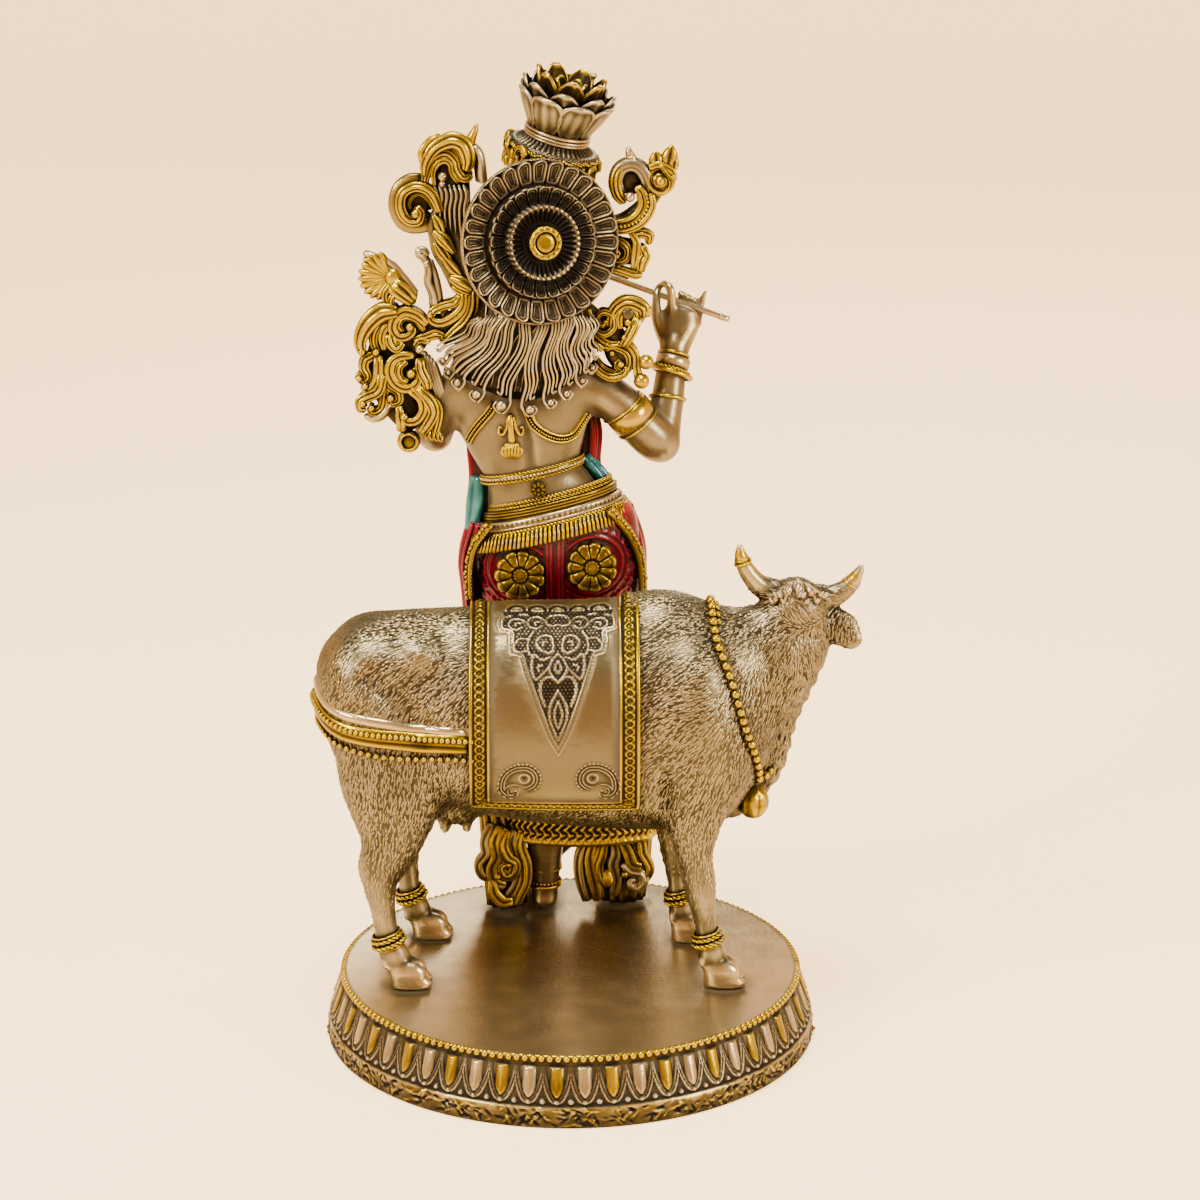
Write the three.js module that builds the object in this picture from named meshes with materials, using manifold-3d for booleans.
// A figurine of a flute player leaning on a cow, on a round lotus plinth.
// Millimetres, +Z up. The figure faces -Y, and the origin is the middle of the plinth's underside.
// Places are written as the statue is seen from behind: [across to the right, out to the back, up].
import * as THREE from "three";
import { mergeVertices } from "three/addons/utils/BufferGeometryUtils.js";
import Module from "manifold-3d";

// Plinth
const plinthRadius = 75;
const plinthHeight = 20.4;
const plinthTopRadius = 69.4;
const footBandHeight = 6.4;
const lotusTongues = 52;
const tongueDepth = 0.7;

// Gap kept between pieces that rest on each other
const restGap = 0.3;
const ground = plinthHeight + restGap;

// Cow: [across, height of the middle, half width, half height] along the trunk
const trunkStations = [
  [-74.5, 109, 5, 9],
  [-70.5, 107.5, 12.5, 17],
  [-64, 106.5, 18, 22.5],
  [-54, 105.5, 22, 26.8],
  [-40, 104, 23.6, 29.4],
  [-27, 103.5, 24.6, 30.4],
  [0, 102.3, 25.6, 32.8],
  [27, 102, 24, 34.2],
  [40, 100.5, 21, 33.4],
  [50, 100.5, 16.5, 29.5],
  [57, 101, 11, 22],
];
const trunkSides = 14;
const bellyFullness = 0.12;
const cloth = { left: -29.5, right: 20.5, hem: 79.3, field: 0.9, border: 1.7, borderWidth: 5, hemWidth: 4 };
const chainBeads = 13;
const beadRadius = 1.8;

// Rosette behind the head
const rosettePlace = [-8.9, -18, 241];
const rosetteFacing = [0.3, 0.93, 0.13];
const rosetteRadius = 24.2;
const rosettePetals = 18;

// Crown
const crownPlace = [-5.4, -34, 262];
const crownAxis = [0.24, 0.23, 0.94];
const crownPetals = 8;

// Hair
const hairLocks = 16;
const hairTips = 9;

// Flute
const fluteEnds = [
  [-24, -54.6, 237.3],
  [49.3, -50, 211.5],
];
const fluteRadius = 0.95;

const wasm = await Module();
wasm.setup();

// A point of the model from a place seen from behind
function place([across, out, up]) {
  return new THREE.Vector3(-across, out, up);
}

// A closed geometry as a solid that can be joined and cut
function solidOf(geometry) {
  const bare = geometry.clone();
  bare.deleteAttribute("normal");
  bare.deleteAttribute("uv");
  const merged = mergeVertices(bare, 1e-4);
  return new wasm.Manifold(
    new wasm.Mesh({
      numProp: 3,
      vertProperties: new Float32Array(merged.attributes.position.array),
      triVerts: new Uint32Array(merged.index.array),
    }),
  );
}

// A solid as geometry that can be shown
function geometryOf(solid) {
  const mesh = solid.getMesh();
  const geometry = new THREE.BufferGeometry();
  geometry.setAttribute("position", new THREE.BufferAttribute(mesh.vertProperties, 3));
  geometry.setIndex(new THREE.BufferAttribute(mesh.triVerts, 1));
  geometry.computeVertexNormals();
  return geometry;
}

function join(solids) {
  return solids.reduce((whole, piece) => whole.add(piece));
}

// A sphere whose rows are moved onto rings: row 0 and the last row are the two end points
function ringed(rowCount, sides, pointOf) {
  const geometry = new THREE.SphereGeometry(1, sides, rowCount - 1);
  const position = geometry.attributes.position;
  for (let row = 0; row < rowCount; row++) {
    for (let s = 0; s <= sides; s++) {
      const point = pointOf(row, (2 * Math.PI * (s % sides)) / sides);
      position.setXYZ(row * (sides + 1) + s, point.x, point.y, point.z);
    }
  }
  return solidOf(geometry);
}

// A limb through stations [across, out, up, half width, half depth]. The half width lies along
// side, and the ends are blunt points that reach out by tip times the end's size.
function limb(stations, { sides = 6, side = [1, 0, 0], tip = 0.6 } = {}) {
  const path = new THREE.CatmullRomCurve3(stations.map(place), false, "centripetal");
  const last = stations.length - 1;
  const sideWay = new THREE.Vector3(-side[0], side[1], side[2]);
  return ringed(stations.length + 2, sides, (row, turn) => {
    const station = THREE.MathUtils.clamp(last + 1 - row, 0, last);
    const [, , , wide, deep = wide] = stations[station];
    const along = path.getTangent(station / last);
    const point = path.getPoint(station / last);
    if (row === 0) return point.addScaledVector(along, Math.min(wide, deep) * tip);
    if (row === last + 2) return point.addScaledVector(along, -Math.min(wide, deep) * tip);
    const wideWay = sideWay.clone().addScaledVector(along, -sideWay.dot(along)).normalize();
    const deepWay = new THREE.Vector3().crossVectors(wideWay, along);
    return point
      .addScaledVector(wideWay, -Math.cos(turn) * wide)
      .addScaledVector(deepWay, Math.sin(turn) * deep);
  });
}

// A rounded lump, and small beads
function lump(centre, [wide, deep, high], columns = 7, rows = 4) {
  const geometry = new THREE.SphereGeometry(1, columns, rows).rotateX(Math.PI / 2).scale(wide, deep, high);
  return solidOf(geometry.translate(...place(centre).toArray()));
}

function bead(centre, radius) {
  return solidOf(new THREE.OctahedronGeometry(radius).translate(...place(centre).toArray()));
}

// A block between two corners
function block(low, high) {
  const geometry = new THREE.BoxGeometry(high[0] - low[0], high[1] - low[1], high[2] - low[2]);
  return solidOf(geometry.translate(...place(low).add(place(high)).multiplyScalar(0.5).toArray()));
}

// A turned profile of [radius, height, wave, lift] round +Y. Each petal's middle is moved out by
// wave and up by lift, and the notch beside it the other way. Three sides make a broad petal.
function turned(profile, petals, perPetal = 2) {
  const outline = profile.map(([radius, height]) => new THREE.Vector2(radius, height));
  const geometry = new THREE.LatheGeometry(outline, petals * perPetal);
  const position = geometry.attributes.position;
  for (let i = 0; i < position.count; i++) {
    const [radius, , wave = 0, lift = 0] = profile[i % profile.length];
    if (radius === 0) continue;
    const x = position.getX(i);
    const z = position.getZ(i);
    const swing = Math.cos(petals * Math.atan2(x, z) + (perPetal % 2 ? Math.PI / 3 : 0));
    const grow = 1 + (wave * swing) / radius;
    position.setXYZ(i, x * grow, position.getY(i) + lift * swing, z * grow);
  }
  return geometry;
}

// Stands a turned shape on a place, with its axis along a direction
function stand(geometry, at, axis) {
  const direction = new THREE.Vector3(-axis[0], axis[1], axis[2]).normalize();
  const turn = new THREE.Quaternion().setFromUnitVectors(new THREE.Vector3(0, 1, 0), direction);
  return solidOf(geometry.applyQuaternion(turn).translate(...place(at).toArray()));
}

// A curl: a tapering tube that winds inwards in a plane across the view, after an optional tail
function curl(centre, radius, { turns = 0.9, start = 0, way = 1, thick = 1.8, tail = [] } = {}) {
  const count = Math.round(turns * 6);
  const stations = [...tail];
  for (let i = 0; i <= count; i++) {
    const share = i / count;
    const angle = start + way * turns * 2 * Math.PI * share;
    const reach = radius * (1 - 0.6 * share);
    const across = centre[0] + reach * Math.cos(angle);
    stations.push([across, centre[1], centre[2] + reach * Math.sin(angle), thick * (1 - 0.3 * share)]);
  }
  return limb(stations, { sides: 4, side: [0, 1, 0] });
}

function plinthSolid() {
  const tongueFoot = footBandHeight + 3;
  const tongueHead = plinthHeight - 3;
  const profile = [
    [0, 0],
    [plinthRadius, 0],
    [plinthRadius - 0.4, footBandHeight],
    [plinthRadius - 1.2, tongueFoot, tongueDepth],
    [plinthTopRadius + 0.6, tongueHead, tongueDepth],
    [plinthTopRadius, plinthHeight],
    [0, plinthHeight],
  ];
  return solidOf(turned(profile, lotusTongues).rotateX(Math.PI / 2));
}

// The size of the cow's trunk at a place along it
function trunkAt(across) {
  const next = trunkStations.findIndex(([u]) => u >= across);
  if (next <= 0) return trunkStations[0].slice(1);
  const [before, after] = [trunkStations[next - 1], trunkStations[next]];
  const share = (across - before[0]) / (after[0] - before[0]);
  return [1, 2, 3].map((i) => THREE.MathUtils.lerp(before[i], after[i], share));
}

// Part of the trunk between places along it, each grown by a thickness
function trunk(places) {
  const rows = [...places].reverse();
  return ringed(rows.length + 2, trunkSides, (row, turn) => {
    const [across, extra] = rows[THREE.MathUtils.clamp(row - 1, 0, rows.length - 1)];
    const [middle, wide, high] = trunkAt(across);
    if (row === 0 || row === rows.length + 1) return place([across, 0, middle]);
    const fullness = 1 - bellyFullness * Math.sin(turn);
    const out = Math.cos(turn) * (wide * fullness + extra);
    return place([across, -out, middle + Math.sin(turn) * (high + extra)]);
  });
}

function saddleCloth() {
  const { left, right, hem, field, border, borderWidth, hemWidth } = cloth;
  const step = 0.05;
  const inField = (u) => u > left + borderWidth && u < right - borderWidth;
  const stops = trunkStations.map(([u]) => u).filter(inField);
  const whole = trunk([
    [left, border],
    [left + borderWidth, border],
    [left + borderWidth + step, field],
    ...stops.map((u) => [u, field]),
    [right - borderWidth - step, field],
    [right - borderWidth, border],
    [right, border],
  ]);
  const edge = trunk([left, left + borderWidth, ...stops, right].map((u) => [u, border]));
  const reach = 60;
  const overHem = whole.intersect(block([left - 1, -reach, hem], [right + 1, reach, hem + reach * 2]));
  return overHem.add(edge.intersect(block([left - 1, -reach, hem], [right + 1, reach, hem + hemWidth])));
}

// A leg down to an anklet and a hoof. Stations run from the body to the ankle.
function cowLeg(stations, hoofAt) {
  const [ankleAcross, ankleOut, ankleUp, ankle] = stations[stations.length - 1];
  const [hoofAcross, hoofOut] = hoofAt;
  const middle = [(ankleAcross + hoofAcross) / 2, (ankleOut + hoofOut) / 2];
  const whole = limb(
    [
      ...stations,
      [ankleAcross + 0.1, ankleOut, ankleUp - 0.4, ankle + 1],
      [ankleAcross + 0.4, ankleOut, ankleUp - 3, ankle + 1.1],
      [...middle, ground + 6, ankle + 1.2, ankle + 1.3],
      [hoofAcross, hoofOut, ground + 3.4, 5.4, 6],
      [hoofAcross + 0.8, hoofOut, ground - 1, 5.6, 6.8],
    ],
    { side: [0, 1, 0], tip: 0.1 },
  );
  return whole.intersect(block([-120, -120, ground], [120, 120, ground + 100]));
}

function cowLegs() {
  const nearHind = [
    [-54, 9, 104, 12, 17],
    [-52.5, 13.5, 84, 9, 16],
    [-53.3, 16, 67, 5.6, 9.4],
    [-56.8, 17.5, 54, 4.4, 5.4],
    [-56, 18, 44, 3.3, 3.5],
    [-55, 18, 37, 3.3, 3.5],
  ];
  const farHind = [
    [-52, -9, 104, 12, 16],
    [-48, -13.5, 82, 9, 14],
    [-48.5, -16.5, 66, 5.6, 8.6],
    [-51.5, -18.5, 53, 4.2, 5],
    [-50.8, -19.5, 43, 3.2, 3.3],
    [-50, -20, 36.5, 3.2, 3.3],
  ];
  const nearFore = [
    [37, 10, 92, 9, 14],
    [37, 14.5, 74, 7, 9],
    [37.4, 17, 62, 4.6, 5.2],
    [39, 18, 50.5, 4.1, 4.2],
    [40.4, 18, 42, 3, 3.1],
    [41.2, 18, 36, 3.1, 3.2],
  ];
  const farFore = [
    [34, -10, 92, 9, 12],
    [31.6, -13.5, 74, 7, 8],
    [31.2, -16, 62, 4.4, 5],
    [32.4, -17, 50, 3.9, 3.9],
    [33.2, -17.5, 42, 2.9, 2.9],
    [33.8, -17.5, 35.5, 3, 3],
  ];
  return [
    cowLeg(nearHind, [-49.6, 18]),
    cowLeg(farHind, [-44.8, -21]),
    cowLeg(nearFore, [45, 18]),
    cowLeg(farFore, [36.2, -17.5]),
  ];
}

function cowHead() {
  const lengthwise = { sides: 5, side: [0, 1, 0] };
  const neck = [
    [34, 0, 107, 16, 26],
    [46, -0.5, 110.5, 13, 24],
    [56, -1.5, 115.5, 11, 19.5],
    [64, -3.5, 121.5, 10, 14.5],
    [68.5, -6, 126.5, 9, 11],
  ];
  const skull = [
    [67, -3, 132.5, 9.6, 7.6],
    [69.2, -13, 126.5, 9.2, 9],
    [71.3, -22, 119, 6.8, 7.6],
    [72.8, -30, 111.5, 5.4, 5.6],
    [73.4, -34, 108, 5.4, 4.6],
  ];
  const dewlap = [
    [65, -5, 113, 2.6, 5.4],
    [60.6, -1.5, 99, 3.4, 6.6],
    [55.6, 0, 85, 4.4, 8],
    [47, 0, 73, 5.4, 6.4],
  ];
  const leftHorn = [
    [62, -5, 137, 3.8],
    [56.3, -4, 140.2, 3.2],
    [52.3, -3, 145.8, 2.5],
    [50.6, -2, 152.2, 1.2],
  ];
  const rightHorn = [
    [73.5, -6, 135.6, 3.8],
    [79.6, -6.5, 135.8, 3.2],
    [84.8, -7, 139.8, 2.5],
    [87.8, -7, 144.8, 1.2],
  ];
  const rightEar = [
    [75, -7, 129.6, 1.8, 3],
    [81, -5, 126, 2, 5.2],
    [86.2, -3.5, 121.6, 1.4, 3.4],
  ];
  const leftEar = [
    [61, -9, 129, 1.8, 3],
    [55.5, -13, 125.5, 2, 5],
    [51.5, -16, 121.5, 1.4, 3.2],
  ];
  const hump = [
    [14, 0, 129, 6, 5],
    [26, 0, 131.5, 10, 6.6],
    [38, 0, 128.5, 8, 6],
  ];
  return [
    limb(neck, { sides: 8, side: [0, 1, 0], tip: 0.3 }),
    limb(skull, { sides: 8 }),
    limb(dewlap, lengthwise),
    limb(leftHorn, lengthwise),
    limb(rightHorn, lengthwise),
    limb(rightEar, lengthwise),
    limb(leftEar, lengthwise),
    limb(hump, { sides: 7, side: [0, 1, 0] }),
    lump([67.6, -2.5, 138], [5.6, 5, 4.2]),
  ];
}

// A string of beads as one tube that swells at each bead
function beadString(places) {
  const path = new THREE.CatmullRomCurve3(places.map(place), false, "centripetal");
  const stations = path
    .getSpacedPoints(chainBeads * 2)
    .map((point, i) => [-point.x, point.y, point.z, i % 2 ? beadRadius : beadRadius * 0.45]);
  return limb(stations, { sides: 4, side: [0, 1, 0] });
}

function cowDress() {
  const nearChain = [
    [42, 4, 134],
    [44.2, 14.5, 127.5],
    [48, 18.6, 116],
    [50.6, 17.8, 104],
    [54.6, 13.2, 92],
    [57.4, 6, 82],
  ];
  const farChain = [
    [42, -4, 134, 1.1],
    [46, -17, 119, 1.1],
    [50.6, -16.6, 104, 1.1],
    [57, -5, 82, 1.1],
  ];
  const crupper = (way) => [
    [-74.5, 2 * way, 103, 1.6, 3.2],
    [-69.5, 13.4 * way, 99.6, 1.8, 3.6],
    [-59, 20.6 * way, 95.6, 1.8, 3.6],
    [-44, 24 * way, 93, 1.8, 3.4],
    [-29, 26 * way, 93, 1.6, 3.2],
  ];
  const tail = [
    [-67, -8, 121, 3, 3],
    [-68.6, -15, 110, 2.2, 2.2],
    [-66, -21, 95, 2, 2],
    [-59, -22.5, 76, 2.2, 2.2],
    [-56.5, -22.5, 64, 3.4, 3.4],
    [-56, -22.5, 56, 1.4, 1.4],
  ];
  const teats = [
    [-37.5, 6],
    [-31, 5.4],
  ].map(([u, y]) => limb([[u, y, 70, 1.8], [u, y, 65.6, 1.1]], { sides: 4 }));
  const bell = [
    [56.6, 6, 81, 1.6],
    [56, 6, 78, 3.4],
    [55.4, 6, 74, 4.2],
  ];
  return [
    beadString(nearChain),
    limb(farChain, { sides: 4 }),
    limb(crupper(1), { sides: 6, side: [0, 1, 0], tip: 0.2 }),
    limb(crupper(-1), { sides: 4, side: [0, 1, 0], tip: 0.2 }),
    limb(tail, { sides: 5 }),
    lump([-35, 3, 73.5], [9, 9, 6]),
    ...teats,
    limb(bell, { sides: 7 }),
  ];
}

function cowSolid() {
  const bareTrunk = trunk(trunkStations.map(([u]) => [u, 0]));
  return join([bareTrunk, saddleCloth(), ...cowLegs(), ...cowHead(), ...cowDress()]);
}

// Rosette: three petalled dishes, each standing inside the next, round a boss
function rosette() {
  const [middle, inner, boss] = [rosetteRadius * 0.68, rosetteRadius * 0.43, rosetteRadius * 0.21];
  const profile = [
    [0, -4],
    [rosetteRadius, 3, 0.5],
    [middle, 1],
    [middle, 4.4, 0.3],
    [inner, 2.6],
    [inner, 6.2, 0.2],
    [boss + 0.4, 4],
    [boss, 7],
    [0, 7],
  ];
  return stand(turned(profile, rosettePetals), rosettePlace, rosetteFacing);
}

function crown() {
  const collar = [
    [0, -7],
    [13, -4],
    [14, -0.4, 0.7],
    [11.6, 3.4, 0.6],
    [9.4, 7],
    [10.6, 9.8],
    [0, 12],
  ];
  const outerPetals = [
    [0, 9.5],
    [9, 10.6],
    [12.9, 15.6, 0.4],
    [15.4, 21.4, 0.5, 2],
    [10.4, 16, 0.4],
    [0, 13.4],
  ];
  const innerPetals = [
    [0, 12.6],
    [8.6, 14],
    [11.4, 27.4, -0.5, -2.4],
    [6.6, 18],
    [0, 15.4],
  ];
  const broad = turned(outerPetals, crownPetals, 3);
  const pieces = [turned(collar, crownPetals), broad, turned(innerPetals, crownPetals)];
  return pieces.map((piece) => stand(piece, crownPlace, crownAxis));
}

function face() {
  const chin = [
    [-11.4, -44, 232, 4, 4.6],
    [-12, -46.4, 227.4, 2.8, 2.6],
  ];
  const nose = [
    [-11.4, -48.4, 242, 1.6, 1.6],
    [-12, -50.8, 235.6, 2.2, 2],
  ];
  const ears = [-20.4, 1.8].map((u) => [
    [u, -38, 239, 2, 3],
    [u, -39, 233, 1.6, 2],
    [u, -39, 228, 2.6],
  ]);
  return [
    limb(chin, { sides: 5 }),
    limb(nose, { sides: 4 }),
    ...ears.map((stations) => limb(stations, { sides: 5 })),
  ];
}

// Hair: a pleated fan that hangs down the back, with a bead in the curl of each tip
function hair() {
  const rings = [
    { middle: [-10, -26, 226], wide: 13, deep: 8, wave: 0.6 },
    { middle: [-11, -25.5, 216], wide: 18.5, deep: 9.6, wave: 0.9 },
    { middle: [-12.6, -25.5, 206], wide: 22.6, deep: 10.2, wave: 1.1 },
    { middle: [-14.2, -26, 197], wide: 22.4, deep: 10, wave: 1.2 },
  ];
  const rise = ([u, , z], across) => z + 0.014 * (across - u) ** 2 + 0.12 * (across - u);
  const fan = ringed(rings.length + 2, hairLocks * 2, (row, turn) => {
    const ring = rings[THREE.MathUtils.clamp(rings.length - row, 0, rings.length - 1)];
    const [u, y, z] = ring.middle;
    if (row === 0 || row === rings.length + 1) return place([u, y - 2, z]);
    const swell = 1 + (ring.wave * Math.cos(hairLocks * turn)) / ring.deep;
    const across = u - Math.cos(turn) * ring.wide;
    const up = row === 1 ? rise(ring.middle, across) : z;
    return place([across, y - Math.sin(turn) * ring.deep * swell, up]);
  });
  const backOnly = block([-60, -27, 180], [40, 0, 240]);
  const tipRing = rings[rings.length - 1];
  const beads = Array.from({ length: hairTips }, (_, i) => {
    const turn = Math.PI * (0.06 + (0.88 * i) / (hairTips - 1));
    const across = tipRing.middle[0] - Math.cos(turn) * (tipRing.wide + 0.8);
    const out = tipRing.middle[1] + Math.sin(turn) * (tipRing.deep + 0.4);
    return bead([across, out, rise(tipRing.middle, across) - 0.6], 2.3);
  });
  return [fan.intersect(backOnly), ...beads];
}

// Skirt, fringed belt, waist band, chest and head as one form, from the hem up to the crown
function trunkOfFigure() {
  const skirt = [
    [3, -44.6, 46, 25.6, 12.8],
    [0, -45, 74, 23.8, 13.6],
    [-3.2, -42.6, 110, 25, 13.4],
    [-3.6, -36.4, 137.6, 26.2, 17],
    [-3.8, -35.6, 147.4, 25, 17],
  ];
  const belt = [
    [-3.9, -35.5, 147.6, 26, 18.2],
    [-6.8, -34.6, 158, 22.6, 16],
    [-6.9, -34.6, 158.4, 19.6, 13.4],
  ];
  const waist = [
    [-10.6, -32.6, 165.4, 14.8, 11.6],
    [-10.7, -32.6, 165.8, 15.8, 12.5],
    [-11.6, -32.3, 169, 15.5, 12.3],
    [-11.7, -32.2, 169.4, 14.4, 11.2],
  ];
  const chest = [
    [-13.2, -31.6, 180, 18.6, 12.4],
    [-14.3, -31.6, 191, 22.6, 12.6],
    [-14, -32, 199.6, 19.4, 9.6],
    [-12, -33.4, 208, 8, 7],
  ];
  const head = [
    [-10.6, -36.6, 224, 6.4, 6.8],
    [-10.6, -39.6, 228, 7.6, 8.4],
    [-9.8, -38.2, 236.4, 11.4, 12.4],
    [-8.6, -37.2, 246.4, 12.2, 12.8],
    [-8.5, -37.2, 246.7, 13.6, 14.2],
    [-7.6, -36.6, 251.6, 14, 14.2],
    [-6, -35, 260, 12, 12],
  ];
  return limb([...skirt, ...belt, ...waist, ...chest, ...head], { sides: 12, tip: 0.1 });
}

function arms() {
  const right = [
    [0, -32, 198, 6.6],
    [10, -31, 194, 6.8],
    [16.6, -31.6, 188.4, 6.2],
    [16.9, -31.6, 188.1, 7.2],
    [21.6, -32.6, 183.2, 7],
    [21.9, -32.8, 182.9, 6],
    [27, -34.6, 176.6, 6.4],
    [29.8, -38.6, 186.4, 5.3],
    [31.3, -41.8, 195.4, 4.1],
    [31.4, -42, 195.7, 5.2],
    [31.8, -43.4, 199.2, 5],
    [31.9, -43.6, 199.5, 3.6],
    [32.7, -45, 204, 3.3],
  ];
  const left = [
    [-29, -32, 198, 6.8],
    [-37, -33, 190, 6.3],
    [-41.5, -36.5, 179.6, 5.7],
    [-38, -43, 184, 5.2],
    [-26, -54.6, 199, 4.6],
    [-13, -60.5, 213, 3.6],
  ];
  return [limb(right, { sides: 7, side: [0, 1, 0] }), limb(left, { side: [1, 0, 1] })];
}

// A point on the flute's axis, from 0 at the figure's left end to 1 at its right end
function onFlute(share) {
  return fluteEnds[0].map((from, i) => THREE.MathUtils.lerp(from, fluteEnds[1][i], share));
}

// The right hand: a palm, the forefinger and thumb closed round the rod and three fingers behind it
function rightHand() {
  const back = [
    [32.7, -45, 203, 3.3, 2.8],
    [34.2, -48, 210, 5.2, 2.8],
    [35, -48.6, 214, 5, 2.4],
  ];
  const forefinger = [
    [31.2, -48, 213, 1.9],
    [30.6, -47.2, 219, 1.6],
    [28.4, -50, 222.4, 1.3],
  ];
  const thumb = [
    [30, -47.6, 208, 2],
    [26, -48.6, 213.6, 1.9],
    [27.8, -50.2, 221.4, 1.4],
  ];
  const behind = [33.4, 36.6, 39.8].map((u, i) => [
    [u, -49.4, 213, 1.7],
    [u + 0.4, -52.2, 218.6 - i * 0.9, 1.5],
  ]);
  const little = [
    [39.4, -49, 214, 1.7],
    [42.2, -49.6, 219.2, 1],
  ];
  const fingers = [forefinger, thumb, little, ...behind];
  return [limb(back), ...fingers.map((stations) => limb(stations, { sides: 4 }))];
}

// The left hand, in front of the face: a palm and two broad fingers over the rod
function leftHand() {
  const [u, y, z] = onFlute(0.36);
  const back = [
    [-14, -60, 212.4, 3.5, 3],
    [-4, -61, 219, 4.6, 2.8],
    [u + 4, y - 4, z - 3, 4.4, 2.4],
  ];
  const fingers = [-1, 4].map((shift) => [
    [u + shift, y - 4.6, z - 2, 2.2, 1.6],
    [u + shift, y - 1.6, z + 2.4, 1.9, 1.4],
  ]);
  return [limb(back), ...fingers.map((stations) => limb(stations, { sides: 4 }))];
}

// Pleats down the front, flowers on the hips, the drapes beside the skirt and the feet
function dress() {
  const pleats = [-6, 6].map((u) => [
    [u * 0.7 - 4, -51, 146, 3.2, 2.6],
    [u - 2.5, -56.4, 108, 3.4, 3],
    [u * 1.5 + 2, -57, 46, 4.4, 3.4],
  ]);
  const standingLeg = [
    [-8, -43, 56, 6.6],
    [-8, -42.6, 34, 4.8],
    [-8.2, -46, 25, 4.8, 4.4],
    [-8.8, -56, 22.6, 4.6, 2.4],
  ];
  const crossedLeg = [
    [4, -46, 56, 6.6],
    [-6, -54, 38, 4.8],
    [-18, -60, 24, 3.6],
  ];
  const leftDrape = [
    [-26.6, -36.6, 152, 3, 5],
    [-29.2, -38, 132, 3, 6],
    [-25.4, -44, 64, 4.4, 7],
    [-20.8, -43.6, 30, 6.6, 5.4],
    [-20.8, -43.6, 20, 5, 4.4],
  ];
  const rightDrape = [
    [15.6, -36, 155, 3, 5],
    [19, -38, 136, 3.4, 6],
    [19.6, -46.4, 64, 6.4, 7],
    [16.4, -48.6, 30, 8.4, 5.8],
    [16, -49, 20, 6.6, 4.6],
  ];
  const floor = block([-120, -120, ground], [120, 120, ground + 200]);
  const legsAndDrapes = [standingLeg, crossedLeg, leftDrape, rightDrape];
  const toGround = legsAndDrapes.map((stations) => limb(stations, { sides: 5 }).intersect(floor));
  const flower = [
    [0, -2.6],
    [8.2, -0.6, 0.7],
    [0, 2.4],
  ];
  const flowerPlaces = [
    [-15, -18.4, 139.6],
    [6.8, -18.4, 141.6],
  ];
  return [
    trunkOfFigure(),
    ...pleats.map((stations) => limb(stations, { sides: 4, side: [1, -1, 0] })),
    ...toGround,
    ...flowerPlaces.map((at) => stand(turned(flower, 10), at, [0.08, 1, 0.1])),
  ];
}

// Crest beside the rosette on the left: a horned, arched head over a hollow, a scroll and a stalk
function leftCrest() {
  const panel = [
    [-30.6, -27, 222, 3.4, 2.6],
    [-31.4, -27, 232, 4, 2.6],
    [-34.4, -27, 243, 6, 2.6],
    [-35.4, -27, 254, 6.6, 2.4],
    [-34.4, -27, 263, 5.6, 2.2],
  ];
  const arch = [
    [-41, -25.6, 252, 2.4, 3],
    [-41.4, -25.6, 262, 2.6, 3],
    [-37.6, -25.6, 268.6, 3.2, 3.2],
    [-31, -25.6, 268, 3.6, 3.2],
    [-28.4, -25.6, 261, 3, 3],
  ];
  const horn = [
    [-30, -25.6, 267.6, 2.2],
    [-26.9, -25.6, 274.4, 0.8],
  ];
  return [
    limb(panel),
    limb(arch, { sides: 6, side: [0, 1, 0] }),
    limb(horn, { sides: 4 }),
    bead([-36, -24.6, 259.6], 2.4),
    curl([-44.6, -26, 250.8], 5.4, { start: 0.6, way: 1, thick: 2.4 }),
  ];
}

// Crest on the right: a ring with a finial, and a bud over a round boss
function rightCrest() {
  const body = [
    [1, -29, 242, 4, 3],
    [17, -27.4, 244.6, 3.6, 3],
    [23, -27, 251, 3.4, 3],
    [26.8, -27, 257.7, 4.8, 3.6],
    [28.6, -27, 262.4, 3.8, 3],
    [30.2, -27, 267.2, 1.4, 1.4],
  ];
  const finial = [
    [19, -27, 262, 2],
    [18, -27, 266.8, 1.2],
  ];
  const palmette = [
    [1, -29, 236, 3.6, 2.8],
    [18.4, -28, 239.4, 4, 2.8],
    [21.4, -28, 231.6, 2.4, 2.2],
  ];
  return [
    limb(body),
    limb(finial, { sides: 5 }),
    curl([18.8, -27, 257.4], 4.6, { turns: 0.8, start: -0.4, thick: 1.8 }),
    limb(palmette),
    curl([15, -27, 236.4], 3, { turns: 0.8, start: 1.6, way: -1, thick: 1.4 }),
  ];
}

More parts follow.
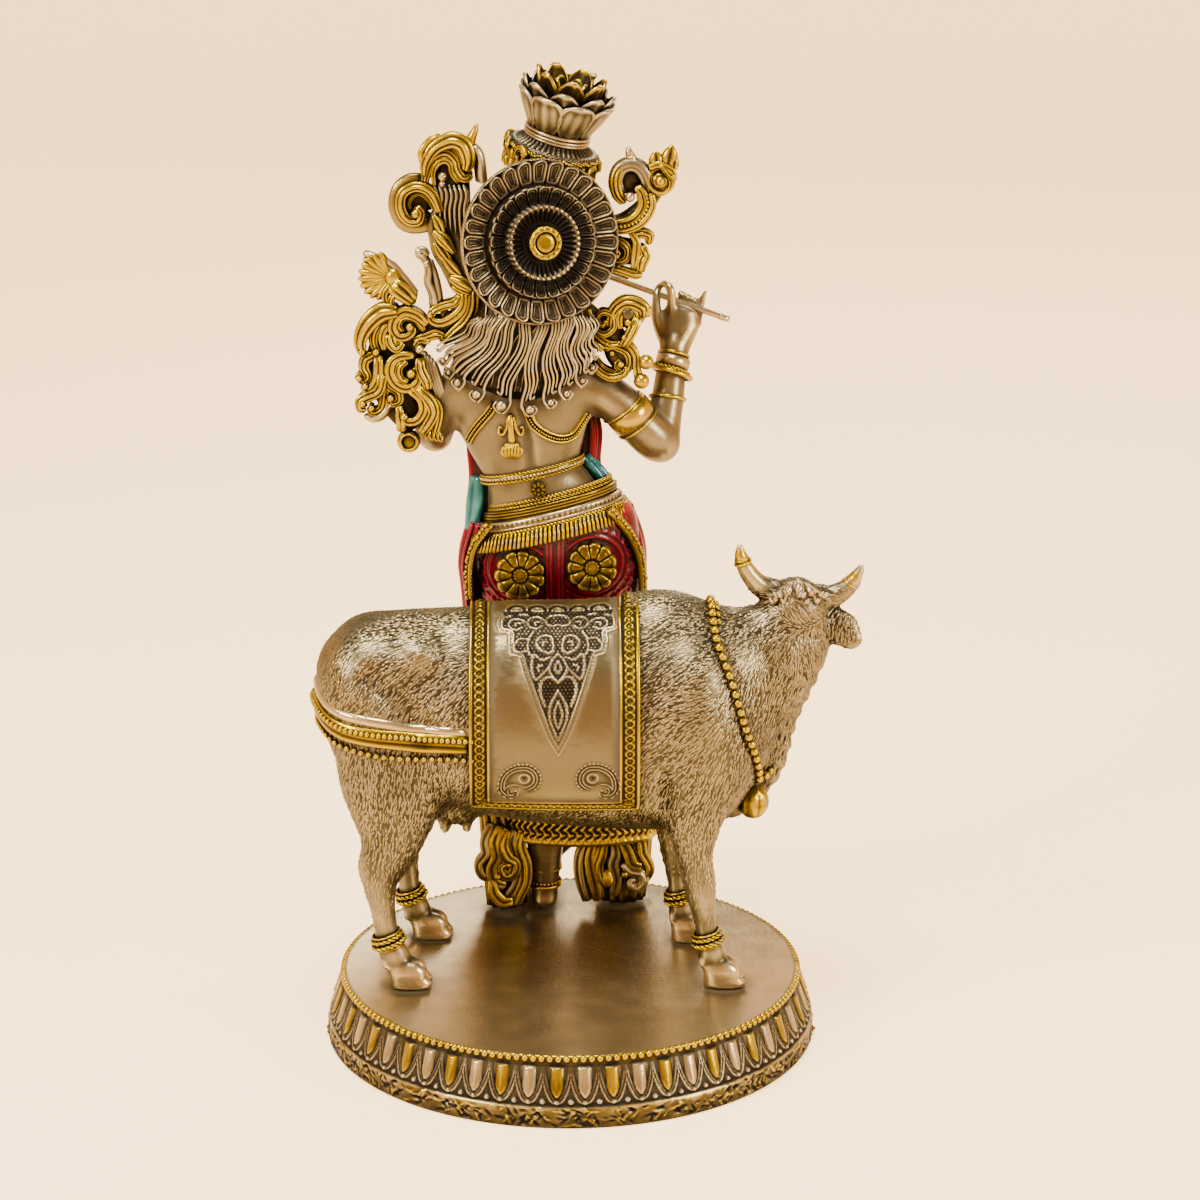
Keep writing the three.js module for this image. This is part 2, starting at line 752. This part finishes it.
// Leafy piece on the left shoulder: a shell fan, a hooked tendril and two falls of curls
function leftShoulder() {
  const bough = [
    [-29.4, -25, 226, 3.6, 3.2],
    [-33.4, -25, 217.4, 4.2, 3.6],
    [-44, -26, 214.4, 4.8, 3.8],
    [-56, -27, 214.2, 4, 3.4],
    [-61.4, -27, 207.4, 2, 2.4],
  ];
  const hook = [
    [-39.6, -27, 217, 2.6],
    [-40.4, -27, 228, 1.9],
    [-43, -27, 236, 1.4],
    [-45, -27, 232.6, 1.2],
  ];
  const backing = [
    [-46, -29.4, 214, 9, 3],
    [-53.4, -29.6, 199, 10.4, 3.4],
    [-47.6, -29.6, 182, 7, 3],
  ];
  const shellNeck = [
    [-46, -27.6, 217, 3, 3],
    [-52, -28, 226.4, 3.8, 2.6],
  ];
  const shell = [
    [0, -2],
    [8, 0, 0.7],
    [0, 2],
  ];
  const innerFall = [
    [-43.6, -27, 194, 3],
    [-41, -27, 182, 2.6],
  ];
  return [
    limb(bough, { side: [0, 0, 1] }),
    limb(hook, { sides: 4 }),
    limb(backing, { sides: 5 }),
    limb(shellNeck, { sides: 5 }),
    stand(turned(shell, 9), [-55.4, -28, 228.8], [-0.3, 1, 0.1]),
    limb(innerFall, { sides: 5 }),
    curl([-47, -26, 214.4], 5, { start: 2.6, way: -1, thick: 2 }),
    curl([-58.8, -27.6, 193.6], 5, { turns: 0.8, start: 1.6, thick: 2.2 }),
    curl([-49.2, -26.6, 200.4], 5.2, { start: 1.2, thick: 2.4 }),
    lump([-48.8, -28, 179.4], [3.6, 3.2, 3.6], 6, 4),
  ];
}

// Leafy piece on the right shoulder: a beaked head and a scroll
function rightShoulder() {
  const bough = [
    [3, -24, 222, 3, 3],
    [9.6, -24.6, 214.4, 3.6, 3.4],
    [15, -26, 217.6, 3.8, 3.2],
    [20.6, -26, 220, 3.2, 3],
  ];
  const fall = [
    [9, -24.6, 214, 3],
    [13.6, -25, 208, 3],
    [20, -26, 203.6, 3.2],
    [21.8, -26, 198, 2.2],
  ];
  return [
    limb(bough),
    limb(fall),
    curl([14.6, -24.6, 202.8], 3.8, { turns: 0.8, start: 1.2, thick: 1.6 }),
  ];
}

function fluteRod(radius) {
  return limb(fluteEnds.map((end) => [...end, radius]), { sides: 8, side: [0, 1, 0], tip: 0.2 });
}

function playerSolid() {
  const parts = [
    ...dress(),
    ...arms(),
    ...rightHand(),
    ...leftHand(),
    ...face(),
    rosette(),
    ...crown(),
    ...hair(),
    ...leftCrest(),
    ...rightCrest(),
    ...leftShoulder(),
    ...rightShoulder(),
  ];
  return join(parts).subtract(fluteRod(fluteRadius + restGap));
}

function shown(name, solid, colour, roughness, metalness) {
  const material = new THREE.MeshStandardMaterial({ color: colour, roughness, metalness });
  const mesh = new THREE.Mesh(geometryOf(solid), material);
  mesh.name = name;
  return mesh;
}

const statue = new THREE.Group();
statue.add(
  shown("plinth", plinthSolid(), 0x9a8768, 0.45, 0.7),
  shown("cow", cowSolid(), 0xb5a483, 0.4, 0.75),
  shown("flute_player", playerSolid(), 0xb39a63, 0.4, 0.75),
  shown("flute", fluteRod(fluteRadius), 0xcfc4ac, 0.3, 0.85),
);

export default statue;
